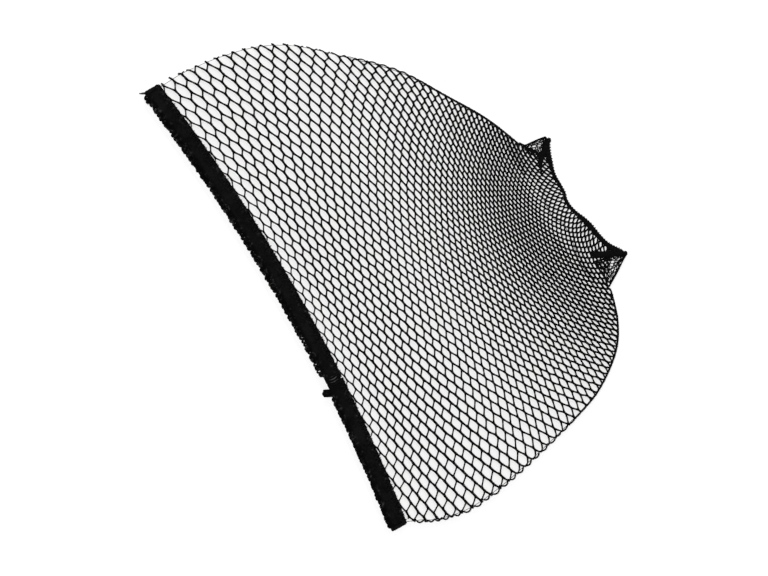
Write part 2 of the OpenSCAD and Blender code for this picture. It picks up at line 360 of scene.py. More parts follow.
def make_floor():
    mesh = bpy.data.meshes.new("floor")
    h = FLOOR_HALF
    mesh.from_pydata([(-h, -h, 0), (h, -h, 0), (h, h, 0), (-h, h, 0)], [], [(0, 1, 2, 3)])
    n = Nodes(bpy.data.materials.new("floor_white"), empty=True)
    lift = n.maths("MULTIPLY", n.add("LightPath").outputs["Is Camera Ray"], FLOOR_LIFT)
    both = n.add("AddShader")
    n.put(both.inputs[0], n.add("BsdfDiffuse", Color=FLOOR_TONE).outputs[0])
    n.put(both.inputs[1], n.add("Emission", Strength=lift).outputs[0])
    n.add("OutputMaterial", Surface=both.outputs[0])
    mesh.materials.append(n.owner)
    add_object("floor", mesh, (0, 0, -FLOOR_DROP))


# ---- materials

# Scales of noise are per metre, and depths of relief in metres.
YARN_BLACK, YARN_WORN = (0.001, 0.001, 0.0011), (0.004, 0.0039, 0.0038)
THREAD_BLACK, THREAD_WORN = (0.002, 0.002, 0.0022), (0.012, 0.0118, 0.0115)
KNIT_BLACK, KNIT_WORN = (0.001, 0.001, 0.0011), (0.008, 0.008, 0.0078)
# Painted light on the band's open edges: a painted shade for the pits and a painted highlight for the glints.
KNIT_PIT_SHADE, KNIT_LOOP, KNIT_GLINT_HIGHLIGHT = (0.0006, 0.0006, 0.0006), (0.006, 0.006, 0.006), (0.045, 0.045, 0.044)
# The lap's wrinkle crests get a painted sheen: paler colour where they would catch the light.
LAP_BLACK, LAP_FAINT_SHEEN, LAP_CREST_SHEEN = (0.0008, 0.0008, 0.0009), (0.008, 0.008, 0.0078), (0.06, 0.06, 0.059)
CARD_DULL, CARD_WHITE = (0.925, 0.925, 0.92), (0.955, 0.955, 0.95)
# The card's cut edge is painted dark grey: a painted shade along its rounded edge.
CUT_SHADE_DARK, CUT_SHADE_PALE = (0.05, 0.0495, 0.048), (0.11, 0.109, 0.106)

YARN_PLY, THREAD_PLY = 1.1, 1.6  # turns in a millimetre
KNIT_ROW, KNIT_WALE = 0.62, 0.55  # pitches of the band's loops
KNIT_MIDDLE = 0.46  # shares of the band's width: its middle, and where the open loops, with their painted pit shade and painted glint highlights, begin and are full
OPEN_GLINTS_FROM_MIDDLE, OPEN_GLINTS_FULL = 0.16, 0.36
FACE_UP, FACE_SIDE = 0.97, 0.85  # the normal's Z on the card's face, and from where the painted shade of its cut edge shows


def yarn_material():
    """Black stretch yarn: two plies wound together, with fine filaments and a faint sheen."""
    n = Nodes(bpy.data.materials.new("net_yarn"))
    tone = n.noise(900, 3)
    fibre = n.bump(n.noise(5200, 2), 0.00004, 0.5)
    return n.finish(
        Base_Color=n.colours(tone, (0.3, YARN_BLACK), (0.75, YARN_WORN)),
        Roughness=n.between(tone, 0.62, 0.82),
        Specular_IOR_Level=0.03,
        Sheen_Weight=0.005,
        Sheen_Roughness=0.5,
        Normal=n.bump(n.ply(YARN_PLY), 0.00006, 0.7, fibre),
    )


def thread_material():
    """Black polyester sewing thread, smoother and a little brighter than the yarn."""
    n = Nodes(bpy.data.materials.new("sewing_thread"))
    tone = n.noise(700, 2)
    return n.finish(
        Base_Color=n.colours(tone, (0.35, THREAD_BLACK), (0.8, THREAD_WORN)),
        Roughness=n.between(tone, 0.45, 0.65),
        Specular_IOR_Level=0.04,
        Normal=n.bump(n.ply(THREAD_PLY), 0.00005, 0.8),
    )


def band_material():
    """Dense elastic knit: rows of small loops, uneven dye, and open loops along its two edges, with painted
    shade in their pits and painted highlights as glints.
    """
    n = Nodes(bpy.data.materials.new("band_knit"))
    along, across = n.thread_uv()
    loops = n.maths("MULTIPLY", n.waves(along, KNIT_ROW), n.waves(across, KNIT_WALE))
    dye, speck = n.noise(160, 4), n.noise(1500, 3)
    blend = n.maths("ADD", n.maths("MULTIPLY", dye, 0.5), n.maths("MULTIPLY", speck, 0.5))
    ground = n.colours(blend, (0.38, KNIT_BLACK), (0.62, KNIT_WORN))
    # Loops stand open near the edges, and there the knit is broken at random into black pits of painted shade
    # and pale glints of painted highlight.
    glint = n.colours(n.noise(620, 2), (0.5, KNIT_PIT_SHADE), (0.6, KNIT_LOOP), (0.72, KNIT_GLINT_HIGHLIGHT))
    off_middle = n.maths("ABSOLUTE", n.maths("SUBTRACT", across, KNIT_MIDDLE * BAND_W))
    open_glint_share = n.between(off_middle, 0.0, 1.0, OPEN_GLINTS_FROM_MIDDLE * BAND_W, OPEN_GLINTS_FULL * BAND_W)
    return n.finish(
        Base_Color=n.mix(open_glint_share, ground, glint),
        Roughness=n.between(speck, 0.65, 0.85),
        Specular_IOR_Level=0.03,
        Sheen_Weight=0.004,
        Sheen_Roughness=0.45,
        Normal=n.bump(loops, 0.00012, 0.8, n.bump(speck, 0.00008, 0.7)),
    )


def lap_material():
    """Elastic drawn up into wrinkles. The UV's V holds the wrinkle's height, and its crests are painted pale
    as a sheen.
    """
    n = Nodes(bpy.data.materials.new("band_lap_knit"))
    ribs = n.noise(900, 3)
    crest_sheen = n.maths("MULTIPLY", n.thread_uv()[1], n.between(ribs, -0.1, 1.7))
    return n.finish(
        # Painted sheen: the crests are coloured paler in place of the light they catch.
        Base_Color=n.colours(crest_sheen, (0.15, LAP_BLACK), (0.35, LAP_FAINT_SHEEN), (0.65, LAP_CREST_SHEEN)),
        Roughness=n.between(ribs, 0.6, 0.8),
        Specular_IOR_Level=0.03,
        Normal=n.bump(ribs, 0.00008, 0.7),
    )


def card_material():
    """Smooth white card, with the faintest fibre and a painted shade on its cut edge, so that the edge reads
    as a thin grey line.
    """
    n = Nodes(bpy.data.materials.new("white_card"))
    fibre = n.noise(1400, 3, stretch=(1, 0.35, 1))
    face = n.colours(n.noise(60, 4), (0.2, CARD_DULL), (0.8, CARD_WHITE))
    # Painted shade: where the surface turns away from the face, the cut edge is coloured dark grey.
    cut = n.colours(fibre, (0.3, CUT_SHADE_DARK), (0.7, CUT_SHADE_PALE))
    normal = n.add("SeparateXYZ", Vector=n.add("TexCoord").outputs["Normal"])
    edge = n.between(n.maths("ABSOLUTE", normal.outputs[2]), 0.0, 1.0, FACE_UP, FACE_SIDE)
    return n.finish(
        Base_Color=n.mix(edge, face, cut),
        Roughness=n.between(fibre, 0.55, 0.7),
        Specular_IOR_Level=0.3,
        Normal=n.bump(fibre, 0.00003, 0.4),
    )


# ---- meshes


def tube_faces(rings, sides):
    """Quads between neighbouring rings of points, each ring closed."""
    i, j = np.meshgrid(np.arange(rings - 1), np.arange(sides), indexing="ij")
    k = (j + 1) % sides
    quads = [i * sides + j, i * sides + k, (i + 1) * sides + k, (i + 1) * sides + j]
    return np.stack(quads, -1).reshape(-1, 4)


def make_mesh(name, points, faces, uvs=None):
    """A smooth mesh, with a UV for each corner of each face."""
    mesh = bpy.data.meshes.new(name)
    mesh.from_pydata((points * MM).tolist(), [], faces)
    if uvs is not None:
        mesh.uv_layers.new(name="thread").data.foreach_set("uv", uvs.reshape(-1))
    mesh.polygons.foreach_set("use_smooth", np.ones(len(faces), bool))
    return mesh


REPEAT = 1e-3  # points nearer than this are one point
STEEP = 0.9


class Threads:
    """Gathers tubes into one mesh. Each follows its own points, with a radius at each of them."""

    def __init__(self, sides=5):
        self.sides = sides
        self.points, self.quads, self.uvs, self.caps = [], [], [], []
        self.count = 0

    def add(self, points, radii, sides=None, flat=1.0):
        """Adds a tube. A flat below 1 presses it in height."""
        points = np.asarray(points, float)
        radii = np.broadcast_to(np.asarray(radii, float), len(points))
        # A cut may fall on a sample. A point that repeats the one before it has no direction, so it goes.
        apart = np.concatenate([[True], np.linalg.norm(np.diff(points, axis=0), axis=1) > REPEAT])
        points, radii = points[apart], radii[apart]
        n = len(points)
        if n < 2:
            return
        sides = sides or self.sides
        step = unit(np.diff(points, axis=0))
        way = np.zeros_like(points)
        way[:-1] += step
        way[1:] += step
        way = unit(way)
        across = np.zeros_like(points)
        last = np.zeros(3)
        for i in range(n):
            last = last - way[i] * (last @ way[i])
            if np.linalg.norm(last) < 0.1:  # at the start, and where the path turns straight into it
                last = np.cross(way[i], (0, 0, 1.0) if abs(way[i][2]) < STEEP else (1.0, 0, 0))
            last = last / np.linalg.norm(last)
            across[i] = last
        up = np.cross(across, way)
        turn = (TURN * (np.arange(sides) + 0.5) / sides)[None, :, None]
        ring = across[:, None] * np.cos(turn) + up[:, None] * np.sin(turn) * flat
        self.points.append((points[:, None] + ring * radii[:, None, None]).reshape(-1, 3))
        quads = tube_faces(n, sides)
        u = length_along(points)[quads // sides]
        v = (quads[:, :1] % sides + [0, 1, 1, 0]) / sides
        self.uvs.append(np.stack([u, v], -1))
        self.quads.append(quads + self.count)
        # Both ends are closed, so that the tube holds water.
        end = self.count + n * sides
        self.caps.append(list(range(self.count, self.count + sides))[::-1])
        self.caps.append(list(range(end - sides, end)))
        self.count = end

    def mesh(self, name, mirror_z=None):
        """The mesh of all tubes, or of their mirror image below a height."""
        points, quads, uvs = (np.concatenate(rows) for rows in (self.points, self.quads, self.uvs))
        caps = self.caps
        if mirror_z is not None:
            points[:, 2] = 2 * mirror_z - points[:, 2]
            quads, uvs, caps = quads[:, ::-1], uvs[:, ::-1], [c[::-1] for c in caps]
        uvs = np.vstack([uvs.reshape(-1, 2), np.zeros((sum(map(len, caps)), 2))])
        return make_mesh(name, points, quads.tolist() + caps, uvs)


# ---- the net's lattice

# The net is knitted as a tube. Its wales (columns) run from the band to the seam, fan out round the
# crown, and are crossed by courses (rows). Each wale is one cubic curve, worked out from these sizes.
# They were chosen against an overlay on the photo and a check with cells measured on it.
BAND_COVER = 1.6  # how far the net runs on under the band
BAND_COURSE, SEAM_COURSE = -9, 40
END_LATE = 1.5  # courses that the lattice starts later at the band's ends, where the net is drawn in
MID_WALE = 6.5
SIDE_WALES = 18  # from the middle wale to one near a fold
WALE_PITCH = 4.7  # along the band
LEFT_WIDER = 0.041  # how the pitch grows to the left of the middle wale
BAND_MIDDLE_X = 5.8
SEAM_PITCH = 1.22
SEAM_MIDDLE_X = 21.4
SEAM_LOW_X, SEAM_LOW_Y, SEAM_BOW = 16, 57.2, 0.0085  # the curve just below the seam where the wales end
FAN_LEFT, FAN_RIGHT = math.radians(2.6), math.radians(3.4)  # turn from wale to wale at the seam
LEAN, LEAN_AT_SIDE = math.radians(3), math.radians(6.5)  # lean of the wales where they leave the band
BAND_PULL = 0.05  # how much longer the side wales keep their direction at the band
SEAM_PULL_LEFT, SEAM_PULL_RIGHT = -0.3, 0.05  # and at the seam
COURSE_PITCH = ((-9, 3.1), (3, 3.15), (12, 2.5), (21, 1.7), (28, 1.45), (35, 1.6), (40, 2.6))  # in the middle
FIRST_WALE, LAST_WALE = -24, 34
FIRST_COURSE, LAST_COURSE = -12, 44

# How far up the middle each course lies, added up in tenths of a course.
course_at = np.linspace(-24, 56, 801)
course_step = look_up(COURSE_PITCH, course_at)
mean_step = (course_step[1:] + course_step[:-1]) / 2
course_run = np.concatenate([[0], np.cumsum(mean_step * np.diff(course_at))])


def run_to(course):
    return np.interp(course, course_at, course_run)


def heading(a):
    """The direction that leans by an angle from straight up."""
    return np.stack([np.sin(a), np.cos(a)], -1)


def net_point(wale, course):
    """Where a point of the lattice lies."""
    wale, course = np.broadcast_arrays(np.asarray(wale, float), np.asarray(course, float))
    off = wale - MID_WALE
    side = off / SIDE_WALES
    band_x = BAND_MIDDLE_X + WALE_PITCH * off - LEFT_WIDER * np.minimum(off, 0) ** 2
    band_y = ARC_Y + np.sqrt(seam_r**2 - (band_x - ARC_X) ** 2) - BAND_COVER
    seam_x = SEAM_MIDDLE_X + SEAM_PITCH * off
    seam_y = SEAM_LOW_Y + SEAM_BOW * (seam_x - SEAM_LOW_X) ** 2
    start, end = np.stack([band_x, band_y], -1), np.stack([seam_x, seam_y], -1)
    third = np.linalg.norm(end - start, axis=-1) / 3
    pull = np.where(off < 0, SEAM_PULL_LEFT, SEAM_PULL_RIGHT) * side**2
    fan = -np.where(off < 0, FAN_LEFT, FAN_RIGHT) * off
    leave = (third * (1 + BAND_PULL * side**2))[..., None] * heading(LEAN + LEAN_AT_SIDE * side**2)
    arrive = (third * (1 + pull))[..., None] * heading(fan)
    first = run_to(BAND_COURSE + END_LATE * side**2)
    t = ((run_to(course) - first) / (run_to(SEAM_COURSE) - first))[..., None]
    u = 1 - t
    return u**3 * start + 3 * u**2 * t * (start + leave) + 3 * u * t**2 * (end - arrive) + t**3 * end


# The crown seam's centre line, from the left ear's tip to the right one's, with its half width.
SEAM = (
    (-7.8, 65.2, 1.5), (-6.2, 63.8, 1.6), (-2.6, 62.4, 1.5), (1.0, 61.6, 1.05), (4.6, 60.6, 0.9),
    (7.6, 60.3, 0.85), (10.8, 60.4, 0.8), (14.5, 60.3, 0.8), (17.0, 59.6, 0.8), (20.4, 59.6, 0.8),
    (24.1, 60.5, 0.9), (27.6, 61.8, 1.1), (31.1, 62.8, 1.35), (34.3, 63.4, 1.35), (37.7, 64.1, 1.15),
    (40.9, 65.0, 1.15), (44.0, 66.3, 1.4), (47.0, 68.5, 1.3), (48.7, 70.1, 0.6),
)
SEAM_Z = 1.7
SEAM_ENDS = 2  # points at each end that lie in an ear, outside the flat net
LEFT_TOP, RIGHT_TOP = (-11.0, 53.3), (57.0, 56.9)  # where the folds meet the ears
MOUTH_POINTS = 60

seam_line = np.array(SEAM)[:, :2]


def split_outline():
    """The fold edges of the wall on the left and on the right, each from the band to the crown."""
    o = outline_of("net_front_wall")
    o = np.roll(o, -np.argmax(o[:, 0] - 3 * o[:, 1]), axis=0)  # from the lower right corner on
    low_left = np.argmin(o[:, 0] + 3 * o[:, 1])
    left_top, right_top = (np.linalg.norm(o - top, axis=1).argmin() for top in (LEFT_TOP, RIGHT_TOP))
    return o[left_top : low_left + 1][::-1], o[: right_top + 1]


left_fold, right_fold = split_outline()


def net_region():
    """The flat part of a wall: between its folds, from under the band to the seam."""
    low = arc(seam_r - BAND_COVER, np.linspace(-corner_a, corner_a, MOUTH_POINTS)[1:])
    low = low[(low[:, 0] > left_fold[0][0]) & (low[:, 0] < right_fold[0][0])]
    top = seam_line[::-1][SEAM_ENDS:-SEAM_ENDS]
    return np.vstack([low, right_fold, top, left_fold[::-1]])


region = net_region()

# ---- the net's yarns

# Yarn of two families climbs to the right and to the left. At each knot two lie side by side and cross,
# and between knots they part. Lengths along a knot are in wales, and lengths across it in courses.
AT_KNOT = (-0.85, 0.0, 0.85)  # samples along a knot, as a share of its half length
CLIMB = {"up": 0.5, "down": -0.5}
CROSSING = {"up": 0.06, "down": -0.06}
KNOT_SWELL = 1.12
LINK_THIN = 0.86
WANDER = 0.04  # unevenness of the knots, in lattice units
KNOT_SHORTER = 0.06  # in the right, where the net is drawn out most
TILT, TILT_LOW_RIGHT, TILT_HIGH_LEFT = 0.02, 0.2, 0.08  # how steeply a knot climbs, and what is added

# Where on the lattice the changes set in and where they are full: wales or courses, as (start, full).
SHORTER_WALES, SHORTER_COURSE, SHORTER_OFF = (14, 22), 9, (8, 0)
TILT_RIGHT_WALES, TILT_RIGHT_COURSES = (-2, 18), (7.5, 0.5)
TILT_LEFT_WALES, TILT_LEFT_COURSES = (8, -4), (15, 20)
SIDE_MIDDLE, SIDE_OFF, SIDE_COURSES = 6, (6, 20), (2, 12)
CROWN_COURSES = (8, 14)
LOW_RIGHT_WALES, LOW_RIGHT_COURSES = (8, 20), (8, 2)

# By course: half a knot's length in wales, the climbing yarn's radius and the other one's.
KNOT_BY_COURSE = ((-8, 0.35), (-2, 0.34), (5, 0.29), (10, 0.27), (16, 0.29), (22, 0.31), (40, 0.31))
RADIUS_BY_COURSE = {
    "up": ((-8, 0.29), (-5.5, 0.405), (2, 0.415), (8, 0.38), (20, 0.38), (26, 0.4), (34, 0.42), (40, 0.34)),
    "down": ((-8, 0.27), (-5.5, 0.36), (2, 0.37), (8, 0.34), (20, 0.35), (26, 0.38), (34, 0.4), (40, 0.33)),
}
# How much fuller yarn is at the sides, in the crown's half by wale, and in the lower right.
FULLER_SIDE = 0.1
FULLER_CROWN = ((-24, -0.026), (14, 0.088), (34, -0.072))
FULLER_LOW_RIGHT = {"up": 0.14, "down": -0.06}

FOLD_THIN = 0.72  # yarn drawn tight round the card's edge
FOLD_CLEAR = 0.8  # no yarn turns round the card this near to the band
FOLD_END = 0.05  # and none past a fold's upper end
WRAP_LEAST = 0.2  # the least radius of the turn
HALVINGS = 7  # steps in finding the place where a yarn ends
KNOT_LIFT = 0.15  # how far one yarn passes over the other's middle
WRAPPED = 0.3  # yarn this far below its height has turned round the edge
SEAM_NEAR = 5.0  # from here on the walls come together towards the seam
SEAM_RISE = 0.45
SEAM_SLACK = 0.9  # how much wider the cells are right beside the slack part of the seam
SLACK_DEPTH = 3.2
SLACK_FROM, SLACK_TO = 20.0, 52.0  # the slack part, by X
SLACK_FADE_IN, SLACK_FADE_OUT = 8, 5

# How the cells are closed along each fold, by height Y: the radius of the edge yarn and how far it bulges.
LEFT_EDGE = ((-70, 0, 0), (8, 0, 0), (14, 0.28, 0.2), (26, 0.34, 0.2), (32, 0.36, 0.05), (56, 0.4, 0))
RIGHT_EDGE = ((-70, 0.34, 0.42), (-15, 0.34, 0.4), (6, 0.34, 0.25), (20, 0.34, 0.06), (56, 0.4, 0))
EDGE_LEAST = 0.1  # an edge yarn thinner than this is left out
EDGE_POINTS = 7
EDGE_IN, EDGE_UP = 0.05, 0.25  # how far the edge yarn lies inside the others, and above the card's middle
EDGE_BACK = 0.6  # share of the bulge that the arc's ends are set back
CELL_MIN, CELL_MAX = 0.4, 9  # between two ends that close a cell
END_NEAR, END_FAR, END_HIGH = 0.8, 1.2, 0.5  # an end that counts: its distance in wrap radii, and its height


def knot_half(wale, course):
    right = ramp(wale, *SHORTER_WALES) * ramp(abs(course - SHORTER_COURSE), *SHORTER_OFF)
    return look_up(KNOT_BY_COURSE, course) - KNOT_SHORTER * right


def knot_tilt(wale, course):
    """A knot climbs most in the lower right, where the net is drawn to the band's corner."""
    low_right = ramp(wale, *TILT_RIGHT_WALES) * ramp(course, *TILT_RIGHT_COURSES)
    high_left = ramp(wale, *TILT_LEFT_WALES) * ramp(course, *TILT_LEFT_COURSES)
    return TILT + TILT_LOW_RIGHT * low_right + TILT_HIGH_LEFT * high_left


def yarn_radius(family, wale, course):
    """Both yarns are fuller towards the crown and the folds, where the net is less stretched."""
    side = ramp(np.abs(wale - SIDE_MIDDLE), *SIDE_OFF) * ramp(course, *SIDE_COURSES)
    crown = look_up(FULLER_CROWN, wale) * ramp(course, *CROWN_COURSES)
    low_right = ramp(wale, *LOW_RIGHT_WALES) * ramp(course, *LOW_RIGHT_COURSES)
    fuller = FULLER_SIDE * side + crown + FULLER_LOW_RIGHT[family] * low_right
    return look_up(RADIUS_BY_COURSE[family], course) * (1 + fuller)


def wander(wale, course, seed):
    """A repeatable unevenness for the knot nearest to a place, hashed to -1 to 1."""
    s = np.sin(np.round(wale) * 12.9898 + np.round(2 * course) * 78.233 + seed * 37.719) * 43758.5453
    return 2 * (s - np.floor(s)) - 1


def strand(family, m):
    """One yarn across the lattice: each sample's wale, course, swelling and lift over the other yarn."""
    apart = CROSSING[family]
    over = 1 if family == "up" else -1

    def knot_at(wale):
        """A knot's course, half length, climb and unevenness."""
        course = m + 0.5 + CLIMB[family] * wale
        off = WANDER * np.array([wander(wale, course, 1), wander(wale, course, 2)])
        return course, knot_half(wale, course), knot_tilt(wale, course), off

    rows = []
    for wale in range(FIRST_WALE, LAST_WALE + 1):
        here, half, tilt, off = knot_at(wale)
        there, next_half, next_tilt, next_off = knot_at(wale + 1)
        for share in AT_KNOT:
            along = share * half
            climb = tilt * along + apart * share
            rows.append((wale + along + off[0], here + climb + off[1], KNOT_SWELL, over * (1 - share**2)))
        start = np.array([wale + half, here + tilt * half + apart]) + off
        end = np.array([wale + 1 - next_half, there - next_tilt * next_half - apart]) + next_off
        rows.append((*(start + end) / 2, LINK_THIN, 0.0))
    return np.array(rows).T


def wrap(points, height):
    """Bends what lies beyond the card's side edges down round them: (x, y, z), and which points are kept."""
    flat = inside(region, points)
    out = at_height(points, height)
    keep = flat.copy()
    for fold in (left_fold, right_fold):
        gap, foot = nearest_on(fold, points)
        near = ~flat & (gap < wrap_r * math.pi / 2 + FOLD_END)
        near &= points[:, 1] > fold[0][1] + FOLD_CLEAR
        near &= np.linalg.norm(foot - fold[-1], axis=1) > FOLD_END
        turn = np.minimum(gap / wrap_r, math.pi / 2)
        r = np.maximum(height - mid_z, WRAP_LEAST)
        outward = (points - foot) / (gap[:, None] + 1e-9)
        out[near, :2] = foot[near] + outward[near] * (r * np.sin(turn))[near, None]
        out[near, 2] = mid_z + (r * np.cos(turn))[near]
        keep |= near
    return out, keep


def seam_height(points):
    """Beyond the card's top edge, the walls come together towards the seam."""
    near = ramp(nearest_on(seam_line, points)[0], SEAM_NEAR, 0)
    return front_z - near**2 * (front_z - SEAM_Z - SEAM_RISE)


def loosen(points):
    """Opens the cells beside the right half of the seam, where the gathered net hangs slack."""
    gap, foot = nearest_on(seam_line, points)
    ends = np.minimum((points[:, 0] - SLACK_FROM) / SLACK_FADE_IN, (SLACK_TO - points[:, 0]) / SLACK_FADE_OUT)
    share = SEAM_SLACK * np.exp(-gap / SLACK_DEPTH) * np.clip(ends, 0, 1)
    return points + (points - foot) * share[:, None]


def crossing(kept, lost, height):
    """The last point of the net on the way from a kept sample to a lost one."""
    low, high = 0.0, 1.0
    best = kept
    height = np.array([height])
    for _ in range(HALVINGS):
        t = (low + high) / 2
        p = kept + (lost - kept) * t
        if wrap(p[None], height)[1][0]:
            low, best = t, p
        else:
            high = t
    return wrap(best[None], height)[0][0]


def lay_yarn(threads, family, m):
    """Lays the parts of a yarn that belong to the net, and gives back the places where they end."""
    rows = strand(family, m)
    wale, course, swell, lift = rows[:, (rows[1] > FIRST_COURSE) & (rows[1] < LAST_COURSE)]
    if len(wale) < 2:
        return []
    flat = loosen(net_point(wale, course))
    height = seam_height(flat) + KNOT_LIFT * lift
    points, keep = wrap(flat, height)
    radius = yarn_radius(family, wale, course) * swell
    radius = radius * np.where(points[:, 2] < height - WRAPPED, FOLD_THIN, 1.0)
    ends = []
    for first, after in np.flatnonzero(np.diff(np.concatenate([[0], keep, [0]]))).reshape(-1, 2):
        run, radii = list(points[first:after]), list(radius[first:after])
        if first > 0:
            run.insert(0, crossing(flat[first], flat[first - 1], height[first]))
            radii.insert(0, radii[0])
            ends.append(run[0])
        if after < len(flat):
            run.append(crossing(flat[after - 1], flat[after], height[after - 1]))
            radii.append(radii[-1])
            ends.append(run[-1])
        threads.add(run, radii)
    return ends


def close_cells(threads, ends, fold, side, edge):
    """Closes the cells along a fold with short arcs of yarn, from each yarn's end to the next one's."""
    line = smooth(fold, 4)
    length = length_along(line)
    gap, foot = nearest_on(line, ends[:, :2])
    on_fold = (gap > END_NEAR * wrap_r) & (gap < END_FAR * wrap_r) & (ends[:, 2] < mid_z + END_HIGH)
    at = np.sort([length[np.linalg.norm(line - f, axis=1).argmin()] for f in foot[on_fold]])
    way = np.gradient(line, axis=0)
    out = unit(np.column_stack([way[:, 1], -way[:, 0]]) * side)
    t = np.linspace(0, 1, EDGE_POINTS)
    for a, b in zip(at, at[1:]):
        place = a + (b - a) * t
        base = sample(line, length, place)
        y = base[EDGE_POINTS // 2, 1]
        radius = look_up(edge, y)
        if b - a < CELL_MIN or b - a > CELL_MAX or radius < EDGE_LEAST:
            continue
        bulge = look_up(edge, y, 2) * (b - a)
        reach = wrap_r - EDGE_IN + bulge * (4 * t * (1 - t) - EDGE_BACK)
        threads.add(at_height(base + sample(out, length, place) * reach[:, None], mid_z + EDGE_UP), radius)


def make_net():
    """All yarns of one wall."""
    threads = Threads()
    ends = []
    reach = 0.5 * (LAST_WALE - FIRST_WALE)
    for family in ("up", "down"):
        for m in range(int(FIRST_COURSE - reach), int(LAST_COURSE + reach)):
            ends += lay_yarn(threads, family, m)
    ends = np.array(ends)
    close_cells(threads, ends, left_fold, -1, LEFT_EDGE)
    close_cells(threads, ends, right_fold, 1, RIGHT_EDGE)
    return threads


# ---- the elastic band

JOIN_X = 39.0
LEFT_FOLD_X, RIGHT_FOLD_X = -105.3, 99.3
SOLID_FROM = 0.85  # the band's dense part starts this far in from the picots' tips
STATION = 0.6  # distance between the band's cross-sections
FOLD_STATIONS = 9
ACROSS = 24  # points across one face
RIBS, RIB_H = 5, 0.05
RIBS_SPAN = (0.22, 0.72)
CORE_H, CORE_HALF = 0.1, 0.27
RELIEF_MIDDLE, LOOPS_FROM = 0.47, 0.28  # shares of the width: its middle, and how far off it the loops begin
LOOP_H, LOOP_PITCH, LOOP_ROWS = 0.09, 1.9, 5
EDGE_THIN = 0.28  # the band's thickness at its two edges, as a share
EDGE_WAVES = ((0.1, 2.1, 0), (0.07, 5.3, 1))  # of the seam edge: height, radians in a millimetre, and start

join_a = math.asin(JOIN_X / mouth_r)
left_a, right_a = arc_angle(LEFT_FOLD_X), arc_angle(RIGHT_FOLD_X)


def band_loop():
    """Stations round the whole band: on a flat run the angle and the side, and at a fold how far round it."""
    step = STATION / mouth_r
    turns = np.linspace(0, math.pi, FOLD_STATIONS)
    return (
        [("flat", a, 1) for a in np.arange(join_a, right_a, step)]
        + [("right", turn, 0) for turn in turns]
        + [("flat", a, -1) for a in np.arange(right_a, left_a, -step)]
        + [("left", turn, 0) for turn in turns]
        + [("flat", a, 1) for a in np.arange(left_a, join_a, step)]
    )


def band_frame(station, radius):
    """For one station: the centre of the strip at each radius and its outward normal."""
    kind, value, side = station
    if kind == "flat":
        foot = arc(radius, np.full_like(radius, value))
        return at_height(foot, mid_z + side * fold_r), np.tile([0.0, 0.0, float(side)], (len(radius), 1))
    x_fold, sign = (RIGHT_FOLD_X, 1) if kind == "right" else (LEFT_FOLD_X, -1)
    a = np.arcsin((x_fold - ARC_X) / radius)
    out_way = np.column_stack([np.cos(a), -np.sin(a)]) * sign
    # On the right the strip turns from the front to the back, and on the left from the back to the front.
    turn = sign * (math.pi / 2 - value)
    normal = at_height(out_way * math.cos(turn), math.sin(turn))
    return at_height(arc(radius, a), mid_z) + normal * fold_r, normal


def knit_relief(across, run):
    """Height of the band's surface: ribs over the elastic strands, loops at its two edges."""
    off = across - RELIEF_MIDDLE
    ribs = RIB_H * np.cos(TURN * RIBS * ramp(across, *RIBS_SPAN))
    core = CORE_H * np.exp(-((off / CORE_HALF) ** 4))
    loops = LOOP_H * np.sin(TURN * run / LOOP_PITCH + 9 * across) * np.sin(TURN * across * LOOP_ROWS)
    return ribs + core + loops * (np.abs(off) > LOOPS_FROM)


def make_band():
    across = np.linspace(0, 1, ACROSS)
    round_edge = np.sqrt(np.clip(1 - np.abs(2 * across - 1) ** 10, 0, 1))
    half = BAND_T / 2 * (EDGE_THIN + (1 - EDGE_THIN) * round_edge)
    over_and_under = np.concatenate([across, 2 - across[::-1]]) * BAND_W
    verts, uvs = [], []
    run, last = 0.0, None
    for station in band_loop():
        edge_wave = sum(height * math.sin(run * rate + start) for height, rate, start in EDGE_WAVES)
        radius = mouth_r + SOLID_FROM + (BAND_W - SOLID_FROM + edge_wave) * across
        centre, normal = band_frame(station, radius)
        if last is not None:
            run += float(np.linalg.norm(centre[0] - last))
        last = centre[0]
        outer = centre + normal * (half + knit_relief(across, run) * round_edge)[:, None]
        inner = centre - normal * half[:, None]
        verts.append(np.vstack([outer, inner[::-1]]))
        uvs.append(np.column_stack([np.full(2 * ACROSS, run), over_and_under]))
    n, k = len(verts), 2 * ACROSS
    faces = tube_faces(n, k)[:, [0, 3, 2, 1]].tolist()
    faces += [list(range(k)), list(range(n * k - 1, (n - 1) * k - 1, -1))]
    return make_mesh("elastic_band", np.concatenate(verts), faces, np.concatenate(uvs)[np.concatenate(faces)])


PICOT_PITCH = 1.7
PICOT_R = 0.42
PICOT_OUT = 0.35  # from the dense part's edge to a loop's feet
PICOT_WIDE, PICOT_LEAN = (0.6, 0.76), (-0.2, 0.2)
PICOT_TALL_BEFORE, PICOT_TALL_AFTER = 1.4, 0.9  # before and after the join
PICOT_OPEN, PICOT_FULL = 0.75, 1.15  # how thick its yarn is where the loops stand open, and elsewhere
HEM = 10.6  # the smooth stretch of edge at the join
HEM_MIDDLE = 0.6  # its middle, past the join
OPEN_FROM = -24.0  # the run before the hem where the loops stand open


